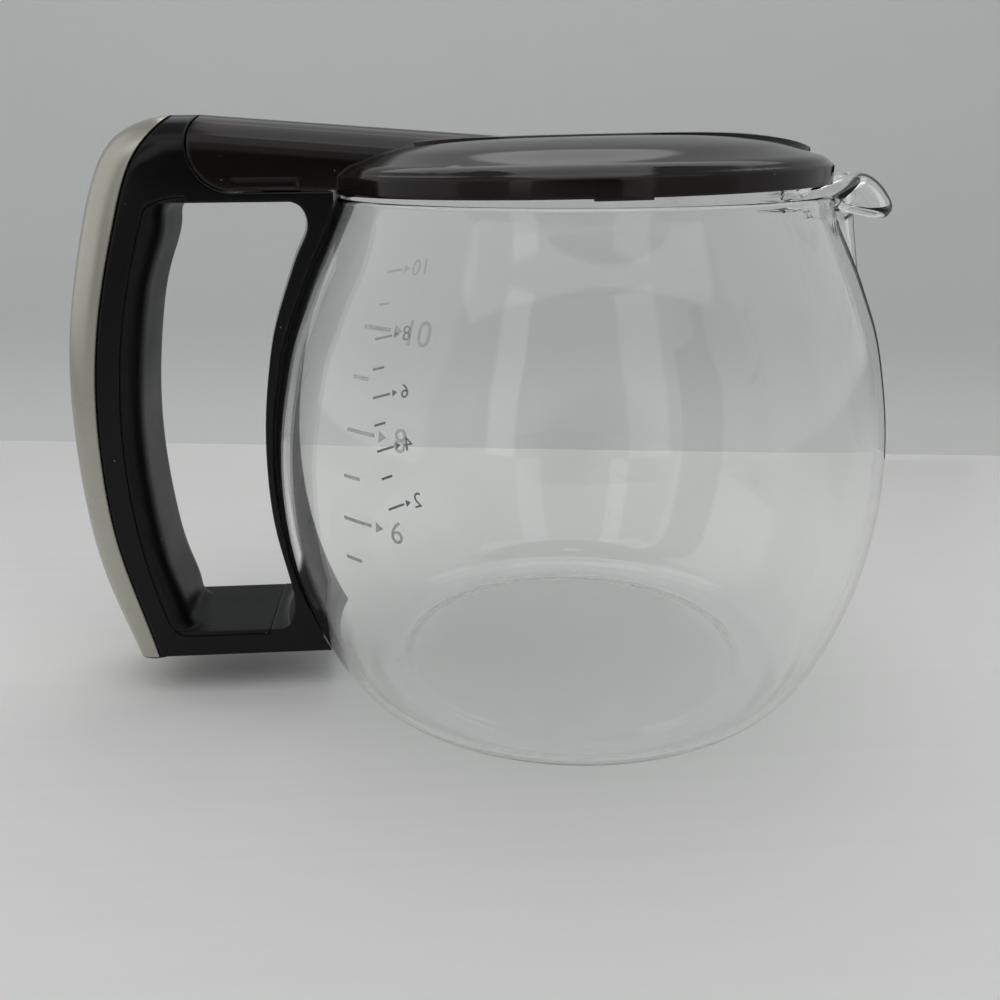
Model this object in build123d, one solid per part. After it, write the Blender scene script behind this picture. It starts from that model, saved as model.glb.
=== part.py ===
from build123d import *
import math
import os

# Carafe of a drip coffee maker, millimetres. The origin is the middle of the flat base,
# +Z is up, +X points to the pouring spout and -X to the handle.

# glass jug
belly_r = 72.0
belly_z = 55.0
base_r = 47.5
rim_r = 54.5
rim_z = 117.5
wall = 2.2
floor_t = 3.0

# pouring spout, a groove pressed out of the neck that ends in a lip turned over
spout_r = 13.0
spout_tilt = 9.5
spout_wall = 2.0
spout_back = 3.7
spout_drop = 8.75
spout_run = 36.0
lip_reach = 8.7
lip_rise = 9.2

# handle
handle_reach = 117.25
handle_rise = 16.4
handle_low = 10.3
handle_w = 27.0
crown_r = 8.0
grip_depth = 16.25
grip_round = 7.0
grip_over = 0.85
gap_top = 116.5
gap_low = 16.5
gap_corner = 4.0
heel_run = 16.25
strap_t = 1.4
strap_flare = 2.5
flare_bend = 1.5
strap_corner = 4.5
strap_off = 0.8
bond_gap = 0.15
bond_w = 22.0
bond_margin = 3.0

# silver trim on the back of the handle and the liner inside the grip
trim_t = 1.4
trim_gap = 0.25
liner_depth = 3.9
liner_t = 1.2
liner_set = 0.15
liner_gap = 0.1

# lid and its hinge
hinge_x = -75.0
hinge_drop = 5.9
seat_r = 8.9
seat_drop = 0.7
seat_gap = 0.4
pin_r = 1.25
pin_run = 0.05
pin_len = 23.0
lug_w = 10.0
lug_r = 2.6
lug_root = 7.0
lug_lead = 6.0
cheek_t = 3.0
tail_t = 2.6
lid_r = 54.8
lid_wall = 2.0
lid_side = 3.2
lid_rise = 10.75
lid_tilt = 0.9
lid_rest = 0.3
lid_gap = 0.6
panel_l = 94.0
panel_w = 50.0
panel_h = 0.25
panel_out = 3.0
panel_x = 5.0
dish_r = 17.0
dish_depth = 3.0
inlet_r = 6.0
tray_t = 1.6
tray_up = 0.6
tray_in = 0.95
tray_gap = 0.1
tray_mouth = 46.0
tube_wall = 1.5
slot_l = 13.5
slot_h = 1.7
slot_deep = 0.8
slot_up = 0.5
tab_l = 10.5
tab_h = 0.4
crown_slope = 4.2

# sizes that follow from those above
half_w = handle_w / 2
handle_top = rim_z + handle_rise
hinge_z = handle_top - hinge_drop
far = 2 * handle_reach
gap_reach = handle_reach - grip_depth
heel_x = handle_reach - heel_run
seat_z = hinge_z - seat_drop - seat_r
strap_out = strap_off + strap_t
lid_axis = Axis((hinge_x, 0, hinge_z), (0, -1, 0))
lid_low = rim_z + lid_rest - (-rim_r - hinge_x) * math.tan(math.radians(lid_tilt))

# The outside of the glass from base to rim. Each pair is a share of the way out from the
# base or rim radius to the belly, then a share of the height.
LOWER = [(0.0, 0.0), (0.151, 0.004), (0.302, 0.017), (0.445, 0.043), (0.616, 0.102),
         (0.751, 0.170), (0.878, 0.255), (0.967, 0.357)]
UPPER = [(0.954, 0.579), (0.834, 0.681), (0.709, 0.753), (0.549, 0.814), (0.42, 0.858),
         (0.28, 0.901), (0.154, 0.940), (0.063, 0.973), (0.0, 1.0)]

# The back of the handle and the inside of the grip, each pair a share of the reach and of
# the height between the underside and the top.
BACK = [(0.932, -0.014), (0.980, 0.159), (1.0, 0.386), (0.984, 0.612), (0.936, 0.799),
        (0.895, 0.906), (0.845, 0.970), (0.785, 0.995), (0.716, 1.0)]
GRIP = [(0.899, 0.96), (0.933, 0.86), (0.970, 0.72), (0.992, 0.575), (1.0, 0.42),
        (0.992, 0.264), (0.972, 0.13), (0.951, 0.04)]

# A rounded inside corner of the finger gap, shares of its size sideways and away from the bar.
CORNER = [(0.07, 0.55), (0.3, 0.2), (0.65, 0.02), (1.1, -0.08)]

# The edge of the trim on the side of the handle, in the same shares as the back.
TRIM = [(0.859, -0.12), (0.887, 0.057), (0.928, 0.253), (0.935, 0.388), (0.930, 0.504),
        (0.903, 0.664), (0.849, 0.836), (0.797, 0.944), (0.735, 1.005), (0.707, 1.03)]

# The middle line of the turned lip, shares of its reach and rise around the spout's axis.
LIP = [(0.0, -0.33), (0.0, 0.33), (0.05, 0.7), (0.25, 0.97), (0.55, 0.94), (0.83, 0.7),
       (1.0, 0.36), (0.97, 0.07), (0.83, -0.04)]

# The outside of the lid, shares of its radius and of the rise above its side wall.
DOME = [(0.985, 0.127), (0.968, 0.238), (0.955, 0.294), (0.930, 0.356), (0.908, 0.404), (0.858, 0.526),
        (0.807, 0.652), (0.730, 0.784), (0.655, 0.877), (0.453, 0.970), (0.250, 1.0)]


def along(points, d):
    # moves each point of a curve sideways by d, to the left of the way it runs
    moved = []
    for i, (u, v) in enumerate(points):
        a = points[max(i - 1, 0)]
        b = points[min(i + 1, len(points) - 1)]
        n = math.hypot(b[0] - a[0], b[1] - a[1])
        moved.append((u - d * (b[1] - a[1]) / n, v + d * (b[0] - a[0]) / n))
    return moved


def glass_curve(inset):
    # the glass profile as radius and height, moved inwards by inset
    pts = [(base_r + s * (belly_r - base_r), t * rim_z) for s, t in LOWER]
    pts += [(belly_r, belly_z)]
    pts += [(rim_r + s * (belly_r - rim_r), t * rim_z) for s, t in UPPER]
    moved = along(pts, inset)
    moved[0] = (base_r, inset)
    moved[-1] = (rim_r - inset, rim_z)
    return moved


def glass_volume(inset, top):
    # solid of revolution inside the glass profile, carried up to top
    pts = glass_curve(inset)
    side = Spline(*[(r, 0, z) for r, z in pts])
    start, end = side @ 0, side @ 1
    corners = [end, (end.X, 0, top), (0, 0, top), (0, 0, start.Z), start]
    if top - end.Z < pin_run:
        corners = [end, (0, 0, end.Z), (0, 0, start.Z), start]
    edges = [side] + Polyline(*corners).edges()
    return revolve(make_face(edges), Axis.Z)


def slab(face, width):
    # the outline given a width, half to each side of the XZ plane
    return extrude(Pos(0, -width / 2, 0) * face, amount=width, dir=(0, 1, 0))


def spout_frame():
    t = math.radians(spout_tilt)
    origin = (rim_r - spout_back, 0, rim_z - spout_drop)
    plane = Plane(origin, x_dir=(math.cos(t), 0, math.sin(t)), z_dir=(0, -1, 0))
    return plane, Axis(origin, (-math.sin(t), 0, math.cos(t)))


def spin(edges, plane, axis):
    # turns an outline drawn in the spout's own plane about the spout's axis
    return revolve(plane * make_face(edges), axis)


def upright(radius, height, z):
    # round column that stands on height z
    return Pos(0, 0, z) * Cylinder(radius, height, align=(Align.CENTER, Align.CENTER, Align.MIN))


def glass_jug():
    plane, axis = spout_frame()
    mid = [(spout_r - spout_wall / 2 + s * lip_reach, t * lip_rise) for s, t in LIP]
    inner = along(mid, spout_wall / 2)
    outer = along(mid, -spout_wall / 2)
    foot = -spout_run
    # the wall of the spout: straight up, then turned over outwards
    run = Polyline(outer[0], (spout_r, foot), (spout_r - spout_wall, foot), inner[0])
    tube = spin([Spline(*inner), Line(inner[-1], outer[-1]), Spline(*outer)] + run.edges(), plane, axis)
    tube = tube - upright(lid_r + lid_gap, far, rim_z)
    # the neck is opened up to the middle of that wall
    crest = mid[3]
    head = lip_rise + spout_r
    start = foot + spout_wall
    rest = Polyline(crest, (crest[0], head), (0, head), (0, start), (mid[0][0], start), mid[0])
    mouth = spin([Spline(*mid[:4])] + rest.edges(), plane, axis)
    # the flat inside of the base stays at its own thickness
    inside = glass_volume(wall, rim_z + far) - upright(belly_r, floor_t, 0)
    return glass_volume(0, rim_z) - mouth + tube - inside


def handle_xz(shares, low, top, reach):
    return [(-s * reach, 0, low + t * (top - low)) for s, t in shares]


def back_points(inset):
    pts = [(x, z) for x, _, z in handle_xz(BACK, handle_low, handle_top, handle_reach)]
    return [(x, 0, z) for x, z in along(pts, -inset)]


def handle_plate(inset):
    # the outline of the whole handle with its rounded back, moved in by inset
    pts = back_points(inset)
    rise = (pts[1][0] - pts[0][0], 0, pts[1][2] - pts[0][2])
    back = Spline(*pts, tangents=[rise, (1, 0, 0)])
    start, end = back @ 0, back @ 1
    inner_x = -rim_r / 2
    path = Polyline(end, (inner_x, 0, end.Z), (inner_x, 0, handle_low),
                    (-heel_x, 0, handle_low), start)
    body = slab(make_face([back] + path.edges()), handle_w - 2 * inset)
    edge_y = half_w - inset
    outer = [e for e in body.edges()
             if abs(abs(e.center().Y) - edge_y) < pin_run
             and (e.bounding_box().min.X < start.X - trim_t or e.bounding_box().min.Z > hinge_z)]
    return fillet(outer, crown_r - inset)


def trim_zone(gap):
    # everything behind the edge line of the trim
    pts = [(x, z) for x, _, z in handle_xz(TRIM, handle_low, handle_top, handle_reach)]
    edge = Spline(*[(x, 0, z) for x, z in along(pts, gap)])
    a, b = edge @ 0, edge @ 1
    rest = Polyline(b, (-far, 0, b.Z), (-far, 0, a.Z), a)
    return slab(make_face([edge] + rest.edges()), handle_w)


def grip_trim():
    skin = handle_plate(0) - handle_plate(trim_t)
    return largest(skin & trim_zone(trim_gap))


def largest(shape):
    return max(shape.solids(), key=lambda s: s.volume)


def corner(side, bar, size, way):
    # a rounded inside corner from the side out along the bar, which it dips into at its end
    return [(side + u * size, bar + way * v * size) for u, v in CORNER]


def grip_points():
    return [(x, z) for x, _, z in handle_xz(GRIP, gap_low, gap_top, gap_reach)]


def grip_core():
    # everything behind the inside of the grip, with the two long edges rounded over
    grip = grip_points()
    top = corner(grip[0][0], gap_top, gap_corner, -1)
    low = corner(grip[-1][0], gap_low, gap_corner, 1)
    inside = Spline(*[(x, 0, z) for x, z in top[::-1] + grip + low])
    a, b = inside @ 0, inside @ 1
    rest = Polyline(b, (b.X, 0, -far), (-far, 0, -far), (-far, 0, far), (a.X, 0, far), a)
    core = slab(make_face([inside] + rest.edges()), handle_w + 2 * grip_over)
    long_edges = [e for e in core.edges()
                  if abs(e.center().Y) > grip_over and e.bounding_box().max.Z < gap_top + gap_corner
                  and e.bounding_box().min.Z > gap_low - gap_corner]
    return fillet(long_edges, grip_round)


def finger_gap():
    # the hole through the handle, between its two bars and in front of the grip
    high = gap_top - gap_low
    hole = Pos(-handle_reach / 2, 0, gap_low + high / 2) * Box(handle_reach, handle_w + grip_over, high)
    return hole - grip_core()


def round_seat(gap):
    # the tail of the lid arm in side view: a quarter round that can turn down in its seat
    r = seat_r - gap
    mid_z = hinge_z - seat_drop
    turn_r = math.hypot(r, seat_drop)
    rise = handle_top - hinge_z
    top = (hinge_x - math.sqrt(turn_r ** 2 - rise ** 2), 0, handle_top)
    s = math.sqrt(0.5)
    half = math.atan2(rise, -(top[0] - hinge_x)) / 2
    bend = (hinge_x - turn_r * math.cos(half), 0, hinge_z + turn_r * math.sin(half))
    left = (hinge_x - turn_r, 0, hinge_z)
    low_left = (hinge_x - r, 0, mid_z)
    low = (hinge_x, 0, mid_z - r)
    return [ThreePointArc(low, (hinge_x - r * s, 0, mid_z - r * s), low_left),
            Line(low_left, left), ThreePointArc(left, bend, top)], low, top


def arm_space(gap):
    # everything the lid arm may fill above the handle's seat
    arcs, low, top = round_seat(gap)
    rest = Polyline(top, (top[0], 0, far), (0, 0, far), (0, 0, low[2]), low)
    return make_face(arcs + rest.edges())


def crosswise(radius, length):
    # round bar along the hinge axis
    return Pos(hinge_x, 0, hinge_z) * Rot(90, 0, 0) * Cylinder(radius, length)


def hinge_lug():
    # hooked lug that leans back over the seat and carries the pin
    d = lug_r / math.sqrt(2)
    root = seat_z - (seat_z - gap_top) / 2
    x0 = hinge_x + lug_lead
    pts = [(hinge_x - d, 0, hinge_z - d), (hinge_x + d, 0, hinge_z + d),
           (x0 + lug_root, 0, root), (x0, 0, root), (hinge_x - d, 0, hinge_z - d)]
    web = slab(make_face(Polyline(*pts).edges()), lug_w)
    return web + crosswise(lug_r, lug_w)


def hinge_pin():
    return crosswise(pin_r, pin_len)


def strap_curve():
    # the gap side of the strap as radius and height: it follows the glass and leaves it upwards
    low, top = gap_low + gap_corner, gap_top - strap_corner
    pts = []
    for r, z in glass_curve(-strap_out):
        if low < z < top:
            up = max(0, z - belly_z) / (gap_top - belly_z)
            pts.append((r + strap_flare * up ** flare_bend, z))
    foot = corner(pts[0][0], gap_low, gap_corner, 1)
    head = corner(pts[-1][0], gap_top, strap_corner, -1)
    return foot[::-1] + pts + head


def strap():
    # the strip of the handle that lies against the glass
    side = Spline(*[(r, 0, z) for r, z in strap_curve()])
    a, b = side @ 0, side @ 1
    ring = revolve(make_face([side] + Polyline(b, (0, 0, b.Z), (0, 0, a.Z), a).edges()), Axis.Z)
    return ring & Pos(-far / 2 - rim_r / 2, 0, 0) * Box(far, handle_w, 2 * far)


def liner_zone(gap):
    # the liner in side view: deep behind the grip, thin along the bars, moved in by gap
    seam = Spline(*[(x, 0, z) for x, z in along(grip_points(), gap - liner_depth)])
    a, b = seam @ 0, seam @ 1
    rise, fall = seam % 0, seam % 1
    high = gap_top + liner_t - gap
    low = gap_low - liner_t + gap
    turn_a = (a.X + rise.X * (high - a.Z) / rise.Z, 0, high)
    turn_b = (b.X + fall.X * (low - b.Z) / fall.Z, 0, low)
    head = (turn_a[0] + 2 * gap_corner - gap, 0, high)
    heel = (turn_b[0] + gap_corner, 0, low)
    x_end = -strap_curve()[0][0] - gap
    edges = [seam, Bezier(b, turn_b, heel), Bezier(head, turn_a, a)]
    rest = Polyline(heel, (x_end, 0, low), (x_end, 0, gap_low + gap_corner),
                    (head[0], 0, gap_top - gap_corner), head)
    return make_face(edges + rest.edges())


def handle_frame():
    plate = handle_plate(0) - finger_gap() - slab(arm_space(0), handle_w)
    plate = plate - ((handle_plate(0) - handle_plate(trim_t)) & trim_zone(0))
    plate = plate - slab(liner_zone(0), handle_w)
    lid_way = upright(lid_r + lid_gap + seat_gap, far, gap_top)
    frame = plate + strap() + hinge_lug() - glass_volume(-strap_off, rim_z) - lid_way
    return largest(frame - crosswise(pin_r, lug_w))


def handle_liner():
    return largest(slab(liner_zone(liner_gap), handle_w - 2 * liner_set) - finger_gap())


def bond_strip():
    # the layer of glue between the strap and the glass
    low, top = handle_low + bond_margin, gap_top - bond_margin
    box = Pos(-far / 2 - rim_r / 2, 0, (low + top) / 2) * Box(far, bond_w, top - low)
    return largest((glass_volume(bond_gap - strap_off, rim_z) & box) - glass_volume(-bond_gap, rim_z))


def dome_solid(inset, wider=0):
    # the closed form of the lid, moved in by inset or with its radius made wider
    r = lid_r - inset + wider
    rise = lid_rise - lid_side
    pts = [(r * s, 0, lid_low + lid_side + t * rise - inset) for s, t in DOME]
    curve = Spline(*pts)
    top = curve @ 1
    side_top = (r, 0, lid_low + lid_side - inset)
    edges = [Line((0, 0, lid_low - inset), (r, 0, lid_low - inset)),
             Line((r, 0, lid_low - inset), side_top),
             Bezier(side_top, (r, 0, (side_top[2] + (curve @ 0).Z) / 2), curve @ 0), curve,
             Line(top, (0, 0, top.Z)), Line((0, 0, top.Z), (0, 0, lid_low - inset))]
    return revolve(make_face(edges), Axis.Z)


def top_z():
    return lid_low + lid_rise


def lid_disc():
    # the parts of the round cover before it is tilted: outside, inside, dish, inlet, tabs
    roof = top_z() + panel_h
    down = (Align.CENTER, Align.CENTER, Align.MAX)
    panel = Pos(panel_x, 0, lid_low + lid_side) * extrude(Ellipse(panel_l / 2, panel_w / 2), amount=far)
    shell = dome_solid(0) + (Pos(0, 0, panel_h) * dome_solid(0, panel_out) & panel)
    dish = Pos(0, 0, roof) * Cone(dish_r - dish_depth, dish_r, dish_depth, align=down)
    bowl = Pos(0, 0, roof) * Cone(dish_r - dish_depth + lid_wall, dish_r + lid_wall,
                                  dish_depth + lid_wall, align=down)
    inside = dome_solid(lid_wall) - bowl
    inlet = Pos(0, 0, roof) * Cylinder(inlet_r, far)
    tab = Pos(lid_r - lid_wall / 2, 0, lid_low) * Box(lid_wall, tab_l, tab_h, align=down)
    return shell, inside, dish, inlet, [Rot(0, 0, a) * tab for a in (90, -90)]


def tilted(shape):
    return shape.rotate(lid_axis, lid_tilt)


def arm_solid():
    # the lever from the hinge to the dome in side view
    arcs, low, top = round_seat(seat_gap)
    x_in = -lid_r / 3
    end = (x_in, 0, handle_top - (x_in - top[0]) * math.tan(math.radians(crown_slope)))
    rest = Polyline(top, end, (x_in, 0, low[2]), low)
    return slab(make_face(arcs + rest.edges()), handle_w), end


def lid_arm():
    body, end = arm_solid()
    edges = [e for e in body.edges() if abs(abs(e.center().Y) - half_w) < pin_run
             and e.center().Z > end[2] and e.length > lid_r / 2]
    body = fillet(edges, crown_r)
    inner_w = handle_w - 2 * cheek_t
    slope = math.tan(math.radians(crown_slope))
    x0, x1 = hinge_x - seat_r + seat_gap + tail_t, -lid_r / 2
    z0 = hinge_z + lug_r + seat_gap + (hinge_x - x0) * slope
    low = seat_z - seat_gap
    z1 = z0 - (x1 - x0) * slope
    room = Polyline((x0, 0, low), (x0, 0, z0), (x1, 0, z1), (x1, 0, low), (x0, 0, low))
    hollow = slab(make_face(room.edges()), inner_w)
    # the tail wall stops short below so that it can pass under the lug
    open_tail = Pos(hinge_x - far / 2, 0, hinge_z - lug_r / 2) * Box(
        far, inner_w, far, align=(Align.CENTER, Align.CENTER, Align.MAX))
    between = Pos(hinge_x, 0, hinge_z) * Box(seat_r, lug_w + 2 * seat_gap, seat_r)
    arm = body - hollow - open_tail + (crosswise(lug_r, inner_w) - between)
    arm = arm - crosswise(pin_r + pin_run, pin_len + 2 * seat_gap)
    slot_z = seat_z + seat_gap + slot_up + slot_h / 2
    for y in (half_w, -half_w):
        arm = arm - Pos(hinge_x + slot_l / 2, y, slot_z) * Box(slot_l, 2 * slot_deep, slot_h)
    return arm


def lid_cover():
    shell, inside, dish, inlet, tabs = lid_disc()
    cover = tilted(shell) + lid_arm() - tilted(inside) - tilted(dish) - tilted(inlet)
    for t in tabs:
        cover = cover + tilted(t)
    return largest(cover)


def lid_tray():
    low = lid_low + tray_up
    plate = upright(lid_r - lid_wall - tray_in, tray_t, low)
    mouth = Pos(tray_mouth, 0, low) * Box(far, far, far, align=(Align.MIN, Align.CENTER, Align.CENTER))
    roof = top_z() + panel_h - dish_depth - lid_wall - tray_gap
    tube = upright(inlet_r + tube_wall, roof - low, low)
    hole = Pos(0, 0, low) * Cylinder(inlet_r, 2 * far)
    return tilted(largest(plate - mouth + tube - hole))


os.makedirs("parts", exist_ok=True)
made = {
    "glass_jug": glass_jug,
    "handle_frame": handle_frame,
    "handle_liner": handle_liner,
    "grip_trim": grip_trim,
    "bond_strip": bond_strip,
    "hinge_pin": hinge_pin,
    "lid_cover": lid_cover,
    "lid_tray": lid_tray,
}
for name, build in made.items():
    export_step(build(), f"parts/{name}.step")
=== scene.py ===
import math

import bpy
import numpy as np
from mathutils import Matrix


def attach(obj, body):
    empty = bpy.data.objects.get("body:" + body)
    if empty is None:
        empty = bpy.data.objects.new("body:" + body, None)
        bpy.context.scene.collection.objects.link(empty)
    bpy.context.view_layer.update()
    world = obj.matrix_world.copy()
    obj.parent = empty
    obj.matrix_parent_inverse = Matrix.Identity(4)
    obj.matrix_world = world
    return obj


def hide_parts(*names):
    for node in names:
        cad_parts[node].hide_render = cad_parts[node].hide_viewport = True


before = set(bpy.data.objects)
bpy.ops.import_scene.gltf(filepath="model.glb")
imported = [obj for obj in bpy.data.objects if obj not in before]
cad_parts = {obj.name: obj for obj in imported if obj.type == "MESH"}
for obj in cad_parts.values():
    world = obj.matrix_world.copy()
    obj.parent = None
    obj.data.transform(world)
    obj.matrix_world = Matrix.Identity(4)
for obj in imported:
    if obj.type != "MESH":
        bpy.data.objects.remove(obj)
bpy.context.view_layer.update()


# The jug is a round bowl blown from clear borosilicate glass on a flat foot. At the front
# its neck is pressed out into a groove, and the rim there is turned over into a thick lip.
MM = 0.001
FOOT_R = 47.5
FOOT_T = 3.0
BOWL_T = 2.0
LIP_T = 2.1
# the foot's glass thins to the bowl's over this much of the radius
FOOT_EASE = 8.0
# the foot stands on a narrow ring, and its middle is pushed up a little
RING_R = 45.0
KICK_R = 41.2
KICK = 0.55
# radius and height of the outside of the bowl, millimetres, from the foot to the neck
BOWL = [(47.5, 0), (51.2, 0.47), (54.9, 2.0), (58.4, 5.05), (62.6, 12.0), (65.9, 20.0), (69.0, 30.0),
        (71.2, 41.9), (72, 55), (71.2, 68.0), (69.1, 80.0), (66.9, 88.5), (64.1, 95.6), (61.9, 100.8),
        (59.4, 105.9), (57.2, 110.5), (55.8, 113.7)]
# the middle of the turned lip and of the plain rim, from where each leaves the neck
LIP = [(0, 0), (-0.05, 3.2), (0.5, 5.5), (1.8, 6.5), (3.9, 6.0), (6.1, 4.2), (8.0, 1.6), (8.5, -0.1),
       (7.8, -0.9)]
RIM = [(0, 0), (-0.3, 0.7), (-0.55, 1.35), (-0.75, 2.0), (-0.95, 2.7)]
# angles about the groove's axis up to which the lip is whole, and from which it has gone
LIP_FULL = math.radians(14)
LIP_GONE = math.radians(98)
# the groove is a tube that leans in towards its top, with a soft edge where it leaves the neck
GROOVE_R = 12.0
GROOVE_X = 50.8
GROOVE_Z = 108.75
GROOVE_TILT = math.tan(math.radians(9.5))
GROOVE_SOFT = 2.4
GROOVE_LOW = 78.0
# cosine of the angle from the front beyond which no groove is looked for
GROOVE_SIDE = 0.6
# columns of points round the jug, which crowd towards the spout, and rows of points up it
COLUMNS = 280
CROWD = 0.6
MIDDLE_ROWS = 12
RING_ROWS = 28
BOWL_ROWS = 100
RIM_ROWS = 34
CAP_ROWS = 9


def smooth_curve(points, count):
    """Natural cubic spline through the points by chord length, sampled at even steps: the
    second slopes solve one tridiagonal system, and each span is a cubic between its ends."""
    p = np.asarray(points, float)
    t = np.concatenate([[0], np.cumsum(np.linalg.norm(np.diff(p, axis=0), axis=1))])
    h = np.diff(t)
    n = len(t)
    a = np.eye(n)
    mid = np.arange(1, n - 1)
    a[mid, mid - 1], a[mid, mid], a[mid, mid + 1] = h[:-1], 2 * (h[:-1] + h[1:]), h[1:]
    b = np.zeros_like(p)
    slope = np.diff(p, axis=0) / h[:, None]
    b[1:-1] = 6 * np.diff(slope, axis=0)
    m = np.linalg.solve(a, b)
    s = np.linspace(0, t[-1], count)
    k = np.clip(np.searchsorted(t, s, side="right") - 1, 0, n - 2)
    u, v, w = (s - t[k])[:, None], (t[k + 1] - s)[:, None], h[k][:, None]
    bent = (m[k] * v**3 + m[k + 1] * u**3) / (6 * w)
    return bent + (p[k] / w - m[k] * w / 6) * v + (p[k + 1] / w - m[k + 1] * w / 6) * u


def normals_of(r, z):
    """Unit vectors across curves of radius and height: the way along each, turned right."""
    dr, dz = np.gradient(r, axis=-1), np.gradient(z, axis=-1)
    size = np.hypot(dr, dz)
    return dz / size, -dr / size


def piece_of(name, verts, faces, smooth=True):
    """A mesh object at the origin from an array of points in metres and a list of faces."""
    mesh = bpy.data.meshes.new(name)
    mesh.from_pydata(np.asarray(verts).reshape(-1, 3).tolist(), [], faces)
    mesh.polygons.foreach_set("use_smooth", np.full(len(mesh.polygons), smooth))
    mesh.update()
    made = bpy.data.objects.new(name, mesh)
    bpy.context.scene.collection.objects.link(made)
    return made


def ring_piece(name, rings):
    """A closed form round Z from an array of columns of points: each column runs from one end
    of the axis to the other, where its first and last points become the two poles."""
    n, m = rings.shape[:2]
    m -= 2
    poles = rings[:, [0, -1]].mean(0) * [0, 0, 1]
    i, j = np.meshgrid(np.arange(n), np.arange(m - 1), indexing="ij")
    k = (i + 1) % n
    quads = np.stack([i * m + j, k * m + j, k * m + j + 1, i * m + j + 1], -1)
    i = np.arange(n)
    k = (i + 1) % n
    first = np.stack([np.full(n, n * m), k * m, i * m], -1)
    last = np.stack([np.full(n, n * m + 1), i * m + m - 1, k * m + m - 1], -1)
    faces = quads.reshape(-1, 4).tolist() + first.tolist() + last.tolist()
    return piece_of(name, np.concatenate([rings[:, 1:-1].reshape(-1, 3), poles]) * MM, faces)


def eased(t):
    """A share from 0 to 1 with level ends: three squares less two cubes."""
    t = np.clip(t, 0, 1)
    return t * t * (3 - 2 * t)


def jug_skin():
    """Columns of points over the jug's skin. A middle line runs over the foot, up the bowl and
    into the rim, pushed out to the groove's tube where that is further. Round the groove it
    turns over into the lip, away from the tube's axis. The skin is that line moved half the
    glass to each side along its normal and closed by a half round."""
    even = np.linspace(0, 2 * np.pi, COLUMNS, endpoint=False)
    turn = even - CROWD * np.sin(even)
    away = ((turn + np.pi) % (2 * np.pi) - np.pi)[:, None]
    # the rows over the foot lie closer together from the raised middle outwards
    raised = np.linspace(0, KICK_R - 1, MIDDLE_ROWS)
    flat = np.concatenate([raised, np.linspace(KICK_R - 0.8, FOOT_R - 0.5, RING_ROWS)])
    outer = np.concatenate([np.stack([flat, 0 * flat], -1), smooth_curve(BOWL, BOWL_ROWS)[1:]])
    nr, nz = normals_of(outer[:, 0], outer[:, 1])
    half = (FOOT_T + (BOWL_T - FOOT_T) * eased((outer[:, 0] - FOOT_R) / FOOT_EASE)) / 2
    r0, z0 = outer[:, 0] - half * nr, outer[:, 1] - half * nz
    kick = KICK * eased((RING_R - r0) / (RING_R - KICK_R)) / 2
    z0, half = z0 + kick, half - kick
    axis = GROOVE_X - (z0 - GROOVE_Z) * GROOVE_TILT
    reach = GROOVE_R**2 - (axis * np.sin(away)) ** 2
    tube = axis * np.cos(away) + np.sign(reach) * np.sqrt(np.abs(reach))
    tube = np.where(np.cos(away) > GROOVE_SIDE, tube, 0) * (z0 > GROOVE_LOW)
    soft = GROOVE_SOFT * eased((z0 - GROOVE_LOW) / (GROOVE_Z - GROOVE_LOW) * 2)
    r = (r0 + tube + np.sqrt((r0 - tube) ** 2 + soft**2)) / 2
    r = np.where(tube > 0, np.maximum(r, r0), r0)
    middle = np.stack([r * np.cos(away), r * np.sin(away), np.broadcast_to(z0, r.shape)], -1)
    top = middle[:, -1]
    bearing = np.arctan2(top[:, 1], top[:, 0] - axis[-1])[:, None]
    share = eased((LIP_GONE - np.abs(bearing)) / (LIP_GONE - LIP_FULL))
    lip, rim = smooth_curve(LIP, RIM_ROWS)[1:].T, smooth_curve(RIM, RIM_ROWS)[1:].T
    out = share * lip[0] + (1 - share) * rim[0]
    sunk = GROOVE_TILT * (GROOVE_R + lip[0]) * (1 - np.cos(bearing))
    up = share * (lip[1] - sunk) + (1 - share) * rim[1]
    way_x = share * np.cos(bearing) + (1 - share) * np.cos(away)
    way_y = share * np.sin(bearing) + (1 - share) * np.sin(away)
    turned = np.stack([out * way_x, out * way_y, up], -1) + top[:, None]
    middle = np.concatenate([middle, turned], 1)
    half = np.concatenate([half, np.linspace(BOWL_T, LIP_T, RIM_ROWS)[1:] / 2])[:, None]
    round_way = np.roll(middle, -1, 0) - np.roll(middle, 1, 0)
    up_way = np.gradient(middle, axis=1)
    across = np.cross(round_way, up_way)
    across /= np.maximum(np.linalg.norm(across, axis=-1, keepdims=True), 1e-9)
    across[:, :len(flat)] = (0, 0, -1)
    tip = up_way[:, -1:] / np.linalg.norm(up_way[:, -1:], axis=-1, keepdims=True)
    bend = np.linspace(0, np.pi, CAP_ROWS)[None, 1:-1, None]
    cap = middle[:, -1:] + half[-1] * (across[:, -1:] * np.cos(bend) + tip * np.sin(bend))
    return np.concatenate([middle + half * across, cap, (middle - half * across)[:, ::-1]], 1)


def finish_named(name, values):
    """A new material whose Principled shader has these inputs set, its node tree and the shader."""
    made = bpy.data.materials.new(name)
    made.use_nodes = True
    shader = made.node_tree.nodes["Principled BSDF"]
    for label, value in values.items():
        shader.inputs[label].default_value = value
    return made, made.node_tree, shader


def object_noise(tree, scale, detail=2.0):
    """A noise pattern on Object coordinates, with so many patches to a metre."""
    place = tree.nodes.new("ShaderNodeTexCoord")
    noise = tree.nodes.new("ShaderNodeTexNoise")
    noise.inputs["Scale"].default_value = scale
    noise.inputs["Detail"].default_value = detail
    tree.links.new(place.outputs["Object"], noise.inputs["Vector"])
    return noise.outputs["Fac"]


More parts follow.
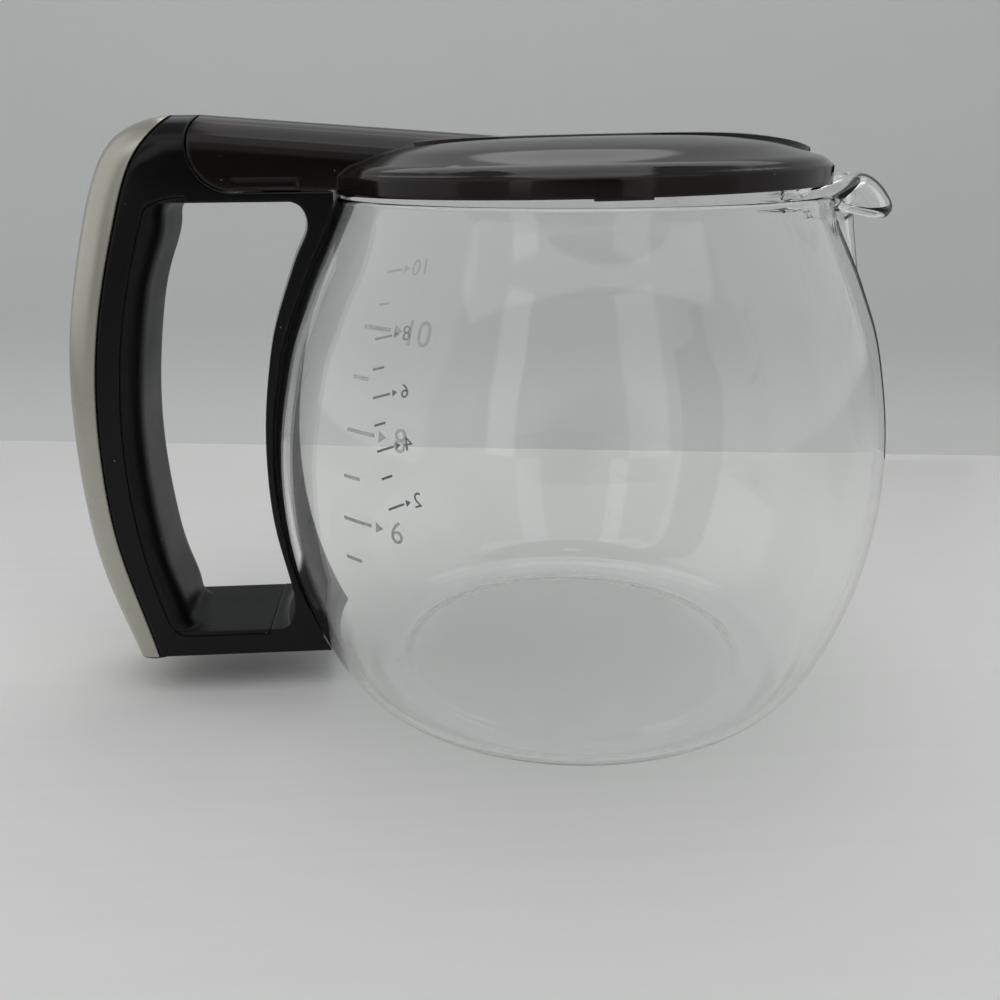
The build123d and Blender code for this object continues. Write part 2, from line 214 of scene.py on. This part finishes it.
def ranged(tree, value, start, end, low=0.0, high=1.0, kind="LINEAR"):
    """A value carried from the range start to end over to low to high, and held at both ends."""
    node = tree.nodes.new("ShaderNodeMapRange")
    node.interpolation_type = kind
    for label, number in (("From Min", start), ("From Max", end), ("To Min", low), ("To Max", high)):
        node.inputs[label].default_value = number
    tree.links.new(value, node.inputs["Value"])
    return node.outputs["Result"]


def combined(tree, operation, first, second):
    """Two values put together by one operation of a Math node."""
    node = tree.nodes.new("ShaderNodeMath")
    node.operation = operation
    tree.links.new(first, node.inputs[0])
    tree.links.new(second, node.inputs[1])
    return node.outputs[0]


def let_through(tree, share, tint):
    """Lets a material's shader give way to a clear tint by a share from 0 to 1."""
    clear = tree.nodes.new("ShaderNodeBsdfTransparent")
    clear.inputs["Color"].default_value = (*tint, 1)
    choose = tree.nodes.new("ShaderNodeMixShader")
    tree.links.new(share, choose.inputs["Fac"])
    tree.links.new(tree.nodes["Principled BSDF"].outputs["BSDF"], choose.inputs[1])
    tree.links.new(clear.outputs["BSDF"], choose.inputs[2])
    tree.links.new(choose.outputs["Shader"], tree.nodes["Material Output"].inputs["Surface"])


glass, tree, shader = finish_named("clear_glass", {
    "Base Color": (0.992, 0.996, 0.993, 1), "Transmission Weight": 1.0, "IOR": 1.47})
# smears that make the glass a little hazy
haze = ranged(tree, object_noise(tree, 38, detail=4), 0.55, 0.85, 0.0, 0.05)
tree.links.new(haze, shader.inputs["Roughness"])
# light on its way to the table goes straight through, so that the jug casts a pale shadow
ray = tree.nodes.new("ShaderNodeLightPath")
straight = combined(tree, "MAXIMUM", ray.outputs["Is Shadow Ray"], ray.outputs["Is Diffuse Ray"])
let_through(tree, straight, (0.99, 0.995, 0.992))

jug = ring_piece("jug", jug_skin())
jug.data.materials.append(glass)
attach(jug, "jug")
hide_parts("glass_jug")


# The cup scale is screen printed in grey ink on the outside of the bowl, once on each side
# of the handle. Even cups have a long mark, an arrow and a figure, odd cups a short mark.
CUP_Z = {2: 24.75, 3: 33.95, 4: 42.4, 5: 50.3, 6: 58.6, 7: 67.2, 8: 76.2, 9: 86.2, 10: 95.3}
SHORT_MARK = math.radians(3.6)
MARK_T = 0.7
ARROW_L = 1.9
ARROW_H = 2.2
FIGURE_H = 4.4
# height of a figure in the built-in type, as a share of the type's size
TYPE_SHARE = 0.69
INK_T = 0.04


def bowl_radius(z):
    """Radius of the outside of the bowl at heights z, millimetres, away from the groove."""
    r, height = smooth_curve(BOWL, 400).T
    return np.interp(z, height, r)


def figure_mesh(text):
    """Points and faces of a number set in the built-in type, its left foot at the origin."""
    letters = bpy.data.curves.new("figure", "FONT")
    letters.body = text
    letters.size = FIGURE_H / TYPE_SHARE
    holder = bpy.data.objects.new("figure", letters)
    bpy.context.scene.collection.objects.link(holder)
    mesh = bpy.data.meshes.new_from_object(holder.evaluated_get(bpy.context.evaluated_depsgraph_get()))
    points = np.empty(len(mesh.vertices) * 3)
    mesh.vertices.foreach_get("co", points)
    faces = [list(p.vertices) for p in mesh.polygons]
    bpy.data.objects.remove(holder)
    points = points.reshape(-1, 3)[:, :2]
    return points - [points[:, 0].min(), 0], faces


def strip(length, height, count=9):
    """A flat bar from the origin, half its height above and below, cut across into cells."""
    x = np.linspace(0, length, count)
    points = np.concatenate([np.stack([x, np.full(count, -height / 2)], -1),
                             np.stack([x, np.full(count, height / 2)], -1)])
    return points, [[i, i + 1, count + i + 1, count + i] for i in range(count - 1)]


def cup_scale(name, side, cups, mark_at, mark_to, arrow_at, figure_at):
    """The marks of one side for the given cups. Flat shapes are wrapped on the bowl: across
    becomes the angle about Z in degrees from the spout, and up becomes the height."""
    verts, faces, total = [], [], 0
    for cup in cups:
        height = CUP_Z[cup]
        girth = bowl_radius(height)
        long = math.radians(mark_at - mark_to)
        shapes = [(*strip((SHORT_MARK if cup % 2 else long) * girth, MARK_T), mark_at, 0, side > 0)]
        if cup % 2 == 0:
            arrow = np.array([[0, -ARROW_H / 2], [ARROW_L, 0], [0, ARROW_H / 2]])
            shapes.append((arrow, [[0, 1, 2]], arrow_at, 0, side > 0))
            figure, figure_faces = figure_mesh(str(cup))
            if side > 0:
                figure = (figure - [figure[:, 0].max(), 0]) * [-1, 1]
            shapes.append((figure, figure_faces, figure_at, -FIGURE_H / 2, False))
        for flat, flat_faces, at, lift, flipped in shapes:
            z = height + lift + flat[:, 1]
            turn = side * (math.radians(at) - flat[:, 0] / girth)
            r = bowl_radius(z) + INK_T / 2
            verts.append(np.stack([r * np.cos(turn), r * np.sin(turn), z], -1) * MM)
            faces += [[total + k for k in (f[::-1] if flipped else f)] for f in flat_faces]
            total += len(flat)
    return piece_of(name, np.concatenate(verts), faces)


def object_height(tree):
    """The height on Object coordinates, metres."""
    place = tree.nodes.new("ShaderNodeTexCoord")
    axes = tree.nodes.new("ShaderNodeSeparateXYZ")
    tree.links.new(place.outputs["Object"], axes.inputs["Vector"])
    return axes.outputs["Z"]


def ink_finish(name, colour, low_cover, high_cover):
    """Screen ink: one grey, worn in fine spots, whose cover falls from the low to the high marks."""
    made, tree, shader = finish_named(name, {"Base Color": (*colour, 1), "Roughness": 0.6})
    spots = ranged(tree, object_noise(tree, 900), 0.3, 0.6, 0.7, 1.0)
    fade = ranged(tree, object_height(tree), CUP_Z[5] * MM, CUP_Z[9] * MM, low_cover, high_cover)
    tree.links.new(combined(tree, "MULTIPLY", spots, fade), shader.inputs["Alpha"])
    return made


def printed(marks, ink):
    """Gives flat marks the thickness of the ink and fixes them to the jug."""
    marks.data.materials.append(ink)
    layer = marks.modifiers.new("ink", "SOLIDIFY")
    layer.thickness = INK_T * MM
    layer.offset = 1
    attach(marks, "jug")


# on the side towards the camera the low marks are worn off and the others are pale
printed(cup_scale("scale_right", -1, range(5, 11), 137.0, 130.8, 129.9, 126.8),
        ink_finish("worn_ink", (0.3, 0.3, 0.28), 0.55, 0.22))
printed(cup_scale("scale_left", 1, range(2, 11), 137.5, 132.0, 131.3, 128.6),
        ink_finish("scale_ink", (0.09, 0.09, 0.085), 0.95, 0.17))


# The handle is moulded in glossy black plastic: a loop with a curved strap that is glued to
# the glass by a thin layer of silicone, and a lug inside its top for the hinge pin.
def mask_group(name, labels):
    """A new shader group that takes a Vector and the named values and puts out a Mask, with its
    two end nodes."""
    group = bpy.data.node_groups.new(name, "ShaderNodeTree")
    group.interface.new_socket("Vector", in_out="INPUT", socket_type="NodeSocketVector")
    for label in labels:
        group.interface.new_socket(label, in_out="INPUT", socket_type="NodeSocketFloat")
    group.interface.new_socket("Mask", in_out="OUTPUT", socket_type="NodeSocketFloat")
    return group, group.nodes.new("NodeGroupInput"), group.nodes.new("NodeGroupOutput")


def cloud_group():
    """A shader group for uneven gloss: soft noise, cut between two levels."""
    group, entry, leave = mask_group("soft_clouds", ["Scale"])
    noise = group.nodes.new("ShaderNodeTexNoise")
    noise.inputs["Detail"].default_value = 3.0
    group.links.new(entry.outputs["Vector"], noise.inputs["Vector"])
    group.links.new(entry.outputs["Scale"], noise.inputs["Scale"])
    group.links.new(ranged(group, noise.outputs["Fac"], 0.35, 0.7), leave.inputs["Mask"])
    return group


def speck_group():
    """A shader group for dust: a dot of a given size at the point of each cell of a pattern, kept
    in the one cell of five whose random colour has the most red."""
    group, entry, leave = mask_group("dust_specks", ["Scale", "Size"])
    cells = group.nodes.new("ShaderNodeTexVoronoi")
    pick = group.nodes.new("ShaderNodeSeparateColor")
    few = group.nodes.new("ShaderNodeMath")
    few.operation = "GREATER_THAN"
    few.inputs[1].default_value = 0.8
    group.links.new(entry.outputs["Vector"], cells.inputs["Vector"])
    group.links.new(entry.outputs["Scale"], cells.inputs["Scale"])
    group.links.new(cells.outputs["Color"], pick.inputs["Color"])
    group.links.new(pick.outputs["Red"], few.inputs[0])
    dot = combined(group, "LESS_THAN", cells.outputs["Distance"], entry.outputs["Size"])
    group.links.new(combined(group, "MULTIPLY", dot, few.outputs[0]), leave.inputs["Mask"])
    return group


SPECKS = speck_group()
CLOUDS = cloud_group()


def placed(tree, group, **values):
    """The mask of a shader group in a material, on Object coordinates, with its own values."""
    place = tree.nodes.new("ShaderNodeTexCoord")
    node = tree.nodes.new("ShaderNodeGroup")
    node.node_tree = group
    for label, value in values.items():
        node.inputs[label].default_value = value
    tree.links.new(place.outputs["Object"], node.inputs["Vector"])
    return node.outputs["Mask"]


def cloudy(tree, shader, scale, low, high):
    """Roughness that drifts in clouds between two values, with so many clouds to a metre."""
    rough = ranged(tree, placed(tree, CLOUDS, Scale=scale), 0, 1, low, high)
    tree.links.new(rough, shader.inputs["Roughness"])


def toned(tree, shader, share, first, second):
    """Colour that goes from a first to a second by a share from 0 to 1."""
    mix = tree.nodes.new("ShaderNodeMix")
    mix.data_type = "RGBA"
    mix.inputs["A"].default_value = (*first, 1)
    mix.inputs["B"].default_value = (*second, 1)
    tree.links.new(share, mix.inputs["Factor"])
    tree.links.new(mix.outputs["Result"], shader.inputs["Base Color"])


def soft_edges(tree, radius):
    """The normal of a surface whose edges are rounded over a radius in millimetres."""
    soft = tree.nodes.new("ShaderNodeBevel")
    soft.samples = 8
    soft.inputs["Radius"].default_value = radius * MM
    return soft.outputs["Normal"]


def moulded(name, colour, rough, dust, grain=0.0, edge=0.8, gloss=0.3):
    """Moulded plastic: a colour with dust specks, roughness in clouds between two values, fine
    grain in the surface and edges that are softened over a small radius in millimetres."""
    made, tree, shader = finish_named(name, {"Specular IOR Level": gloss})
    toned(tree, shader, placed(tree, SPECKS, Scale=300, Size=0.045), colour, dust)
    cloudy(tree, shader, 45, *rough)
    skin = soft_edges(tree, edge)
    if grain:
        bump = tree.nodes.new("ShaderNodeBump")
        bump.inputs["Strength"].default_value = grain
        bump.inputs["Distance"].default_value = 0.1 * MM
        tree.links.new(object_noise(tree, 1400), bump.inputs["Height"])
        tree.links.new(skin, bump.inputs["Normal"])
        skin = bump.outputs["Normal"]
    tree.links.new(skin, shader.inputs["Normal"])
    return made


def dress(node, finish):
    """Gives a CAD node's object one material."""
    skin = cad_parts[node].data
    skin.materials.clear()
    skin.materials.append(finish)


gloss_black = moulded("gloss_black", (0.004, 0.004, 0.0045), (0.12, 0.24), (0.35, 0.33, 0.3))
satin_black = moulded("satin_black", (0.006, 0.006, 0.0065), (0.3, 0.42), (0.3, 0.28, 0.26), grain=0.15)
# the silicone lies wet against the glass, so it has next to no shine of its own
silicone = moulded("silicone", (0.03, 0.03, 0.031), (0.55, 0.7), (0.06, 0.06, 0.06),
                   grain=0.2, edge=0.1, gloss=0.02)
dress("handle_frame", gloss_black)
dress("handle_liner", satin_black)
dress("bond_strip", silicone)


# The back of the handle is capped by a thin shell in champagne silver paint, snapped over
# the black moulding.
SILVER = (0.48, 0.474, 0.415)
# colour of the painted shade in the gap along the shell's edges
PAINTED_SEAM_SHADE = (0.003, 0.003, 0.003)
silver, tree, shader = finish_named("silver_paint", {"Metallic": 0.9})
cloudy(tree, shader, 60, 0.24, 0.34)
skin = soft_edges(tree, 0.9)
tree.links.new(skin, shader.inputs["Normal"])
# close to its edges, where the rounded normal leaves the flat one, the shell's colour turns black:
# painted shade for the narrow gap between the shell and the moulding
face = tree.nodes.new("ShaderNodeNewGeometry")
likeness = tree.nodes.new("ShaderNodeVectorMath")
likeness.operation = "DOT_PRODUCT"
tree.links.new(face.outputs["Normal"], likeness.inputs[0])
tree.links.new(skin, likeness.inputs[1])
toned(tree, shader, ranged(tree, likeness.outputs["Value"], 0.93, 0.98), PAINTED_SEAM_SHADE, SILVER)
dress("grip_trim", silver)


# The lid is a shallow dome in dark brown plastic with a lever to the hinge, a tray clipped
# underneath and a drawn steel pin through the handle's lug.
LID_DUST = (0.2, 0.18, 0.16)
lid_brown = moulded("lid_brown", (0.011, 0.008, 0.0065), (0.07, 0.14), LID_DUST, gloss=0.38)
tray_dark = moulded("tray_dark", (0.02, 0.017, 0.015), (0.35, 0.5), LID_DUST, grain=0.2)
dress("lid_cover", lid_brown)
dress("lid_tray", tray_dark)
steel, tree, shader = finish_named("drawn_steel", {"Base Color": (0.6, 0.6, 0.6, 1), "Metallic": 1.0})
cloudy(tree, shader, 300, 0.2, 0.4)
dress("hinge_pin", steel)


# The stage is a white table top and a pale wall behind it, which shows only from its front and
# has painted bounce light from the table that makes it lighter towards the table. A dark flag
# before the wall shows only as a fine line on the edge of the glass.
FLOOR_HALF = 3.0
FLOOR_Z = -0.0003
STREAKS = (3, 160, 1)
WALL_A = (-0.45, 0.254)
WALL_B = (0.27, 0.148)
WALL_H = 0.9
BOUNCE_PAINT_HEIGHT = 0.06
FLAG_A = (0.142, 0.158)
FLAG_B = (0.192, 0.15)
FLAG_H = 0.14


def stage_piece(name, corners, finish):
    """A flat four-cornered sheet of the stage."""
    made = piece_of(name, corners, [[0, 1, 2, 3]], smooth=False)
    made.data.materials.append(finish)
    return made


def upright(name, first, last, height, finish):
    """A sheet that stands on the floor between two points, up to a height."""
    foot = [(*first, FLOOR_Z), (*last, FLOOR_Z)]
    return stage_piece(name, foot + [(*last, height), (*first, height)], finish)


table_top, tree, shader = finish_named("white_table", {"Roughness": 0.5, "Specular IOR Level": 0.3})
place = tree.nodes.new("ShaderNodeTexCoord")
drawn_out = tree.nodes.new("ShaderNodeMapping")
drawn_out.inputs["Scale"].default_value = STREAKS
tree.links.new(place.outputs["Object"], drawn_out.inputs["Vector"])
streaks = tree.nodes.new("ShaderNodeTexNoise")
streaks.inputs["Scale"].default_value = 1.6
tree.links.new(drawn_out.outputs["Vector"], streaks.inputs["Vector"])
toned(tree, shader, streaks.outputs["Fac"], (0.785, 0.785, 0.77), (0.815, 0.815, 0.8))
f = FLOOR_HALF
stage_piece("floor", [(-f, -f, FLOOR_Z), (f, -f, FLOOR_Z), (f, f, FLOOR_Z), (-f, f, FLOOR_Z)], table_top)

wall_paper, tree, shader = finish_named("pale_wall", {"Roughness": 0.9, "Specular IOR Level": 0.1})
# painted light: the wall's colour is lighter near the table, for the light the table throws back onto it
painted_bounce = ranged(tree, object_height(tree), 0, BOUNCE_PAINT_HEIGHT, kind="SMOOTHSTEP")
toned(tree, shader, painted_bounce, (0.8, 0.81, 0.8), (0.65, 0.663, 0.66))
side = tree.nodes.new("ShaderNodeNewGeometry")
let_through(tree, side.outputs["Backfacing"], (1, 1, 1))
upright("wall", WALL_A, WALL_B, WALL_H, wall_paper)

flag_cloth, tree, shader = finish_named("dark_flag", {"Roughness": 0.9, "Specular IOR Level": 0.0})
toned(tree, shader, object_noise(tree, 60), (0.008, 0.008, 0.008), (0.012, 0.012, 0.012))
flag = upright("flag", FLAG_A, FLAG_B, FLAG_H, flag_cloth)
flag.visible_camera = False
flag.visible_diffuse = False
flag.visible_shadow = False
flag.visible_transmission = False


# The light is a white tent: an even sky that is dark at its small open front, where the camera
# stands, with panels above, in front and at both sides, a strip behind for the lid's shoulder,
# and two narrow flaps in front that show as bands in the glass.
SKY = 0.46
SKY_FRONT = 0.03
# a direction's part along Y, -1 being straight to the front, where the dark ends and the even
# sky begins
FRONT_DARK = -0.975
FRONT_EVEN = -0.9
sky = bpy.data.worlds.new("tent")
sky.use_nodes = True
tree = sky.node_tree
shade = tree.nodes["Background"]
shade.inputs["Color"].default_value = (0.97, 0.98, 1.0, 1)
way = tree.nodes.new("ShaderNodeTexCoord")
axes = tree.nodes.new("ShaderNodeSeparateXYZ")
tree.links.new(way.outputs["Generated"], axes.inputs["Vector"])
front = ranged(tree, axes.outputs["Y"], FRONT_DARK, FRONT_EVEN, SKY_FRONT, SKY, kind="SMOOTHSTEP")
# the dark front is only for light and reflections, so a camera at the back sees an even sky
ray = tree.nodes.new("ShaderNodeLightPath")
seen = ranged(tree, ray.outputs["Is Camera Ray"], 0, 1, 0, SKY)
tree.links.new(combined(tree, "MAXIMUM", front, seen), shade.inputs["Strength"])
bpy.context.scene.world = sky


def soft_lamp(name, place, aim, width, depth, watts):
    """A rectangular lamp at one point that faces another."""
    lamp = bpy.data.lights.new(name, "AREA")
    lamp.shape = "RECTANGLE"
    lamp.size, lamp.size_y, lamp.energy = width, depth, watts
    made = bpy.data.objects.new(name, lamp)
    made.visible_camera = False
    bpy.context.scene.collection.objects.link(made)
    way = np.subtract(aim, place)
    pitch, heading = math.acos(-way[2] / np.linalg.norm(way)), math.atan2(way[1], way[0])
    made.location = place
    made.rotation_euler = (pitch, 0, heading - math.pi / 2)


soft_lamp("top_panel", (0, -0.03, 0.62), (0, -0.03, 0), 0.5, 0.3, 0.7)
soft_lamp("front_panel", (-0.03, -0.3, 0.5), (-0.03, 0, 0.1), 0.9, 0.22, 0.37)
soft_lamp("left_panel", (-0.46, 0, 0.3), (0, 0, 0.2), 0.6, 0.5, 0.35)
soft_lamp("right_panel", (0.46, 0, 0.3), (0, 0, 0.2), 0.6, 0.5, 0.15)
soft_lamp("back_strip", (0.03, 0.13, 0.33), (0.03, -0.05, 0.13), 0.4, 0.16, 0.19)
soft_lamp("left_flap", (-0.21, -0.34, 0.24), (0, 0, 0.1), 0.07, 0.3, 0.05)
soft_lamp("right_flap", (0.105, -0.385, 0.24), (0, 0, 0.1), 0.1, 0.3, 0.05)


# The camera stands in front of the jug, a little towards the handle and above the rim, and
# looks down. Its lens is a short one, because the photograph was taken from close by.
EYE = (-0.03443, -0.23535, 0.12852)
HEADING = math.radians(3.883)
DOWN = math.radians(19.84)
ROLL = math.radians(-0.44)
lens = bpy.data.cameras.new("camera")
lens.sensor_width = 36
lens.lens = 35.96
lens.clip_start = 0.01
camera = bpy.data.objects.new("camera", lens)
bpy.context.scene.collection.objects.link(camera)
level = Matrix.Rotation(-HEADING, 3, "Z") @ Matrix.Rotation(math.pi / 2 - DOWN, 3, "X")
camera.rotation_euler = (level @ Matrix.Rotation(ROLL, 3, "Z")).to_euler()
camera.location = EYE
bpy.context.scene.camera = camera
bpy.context.scene.view_settings.view_transform = "Standard"
bpy.context.scene.view_settings.gamma = 0.88
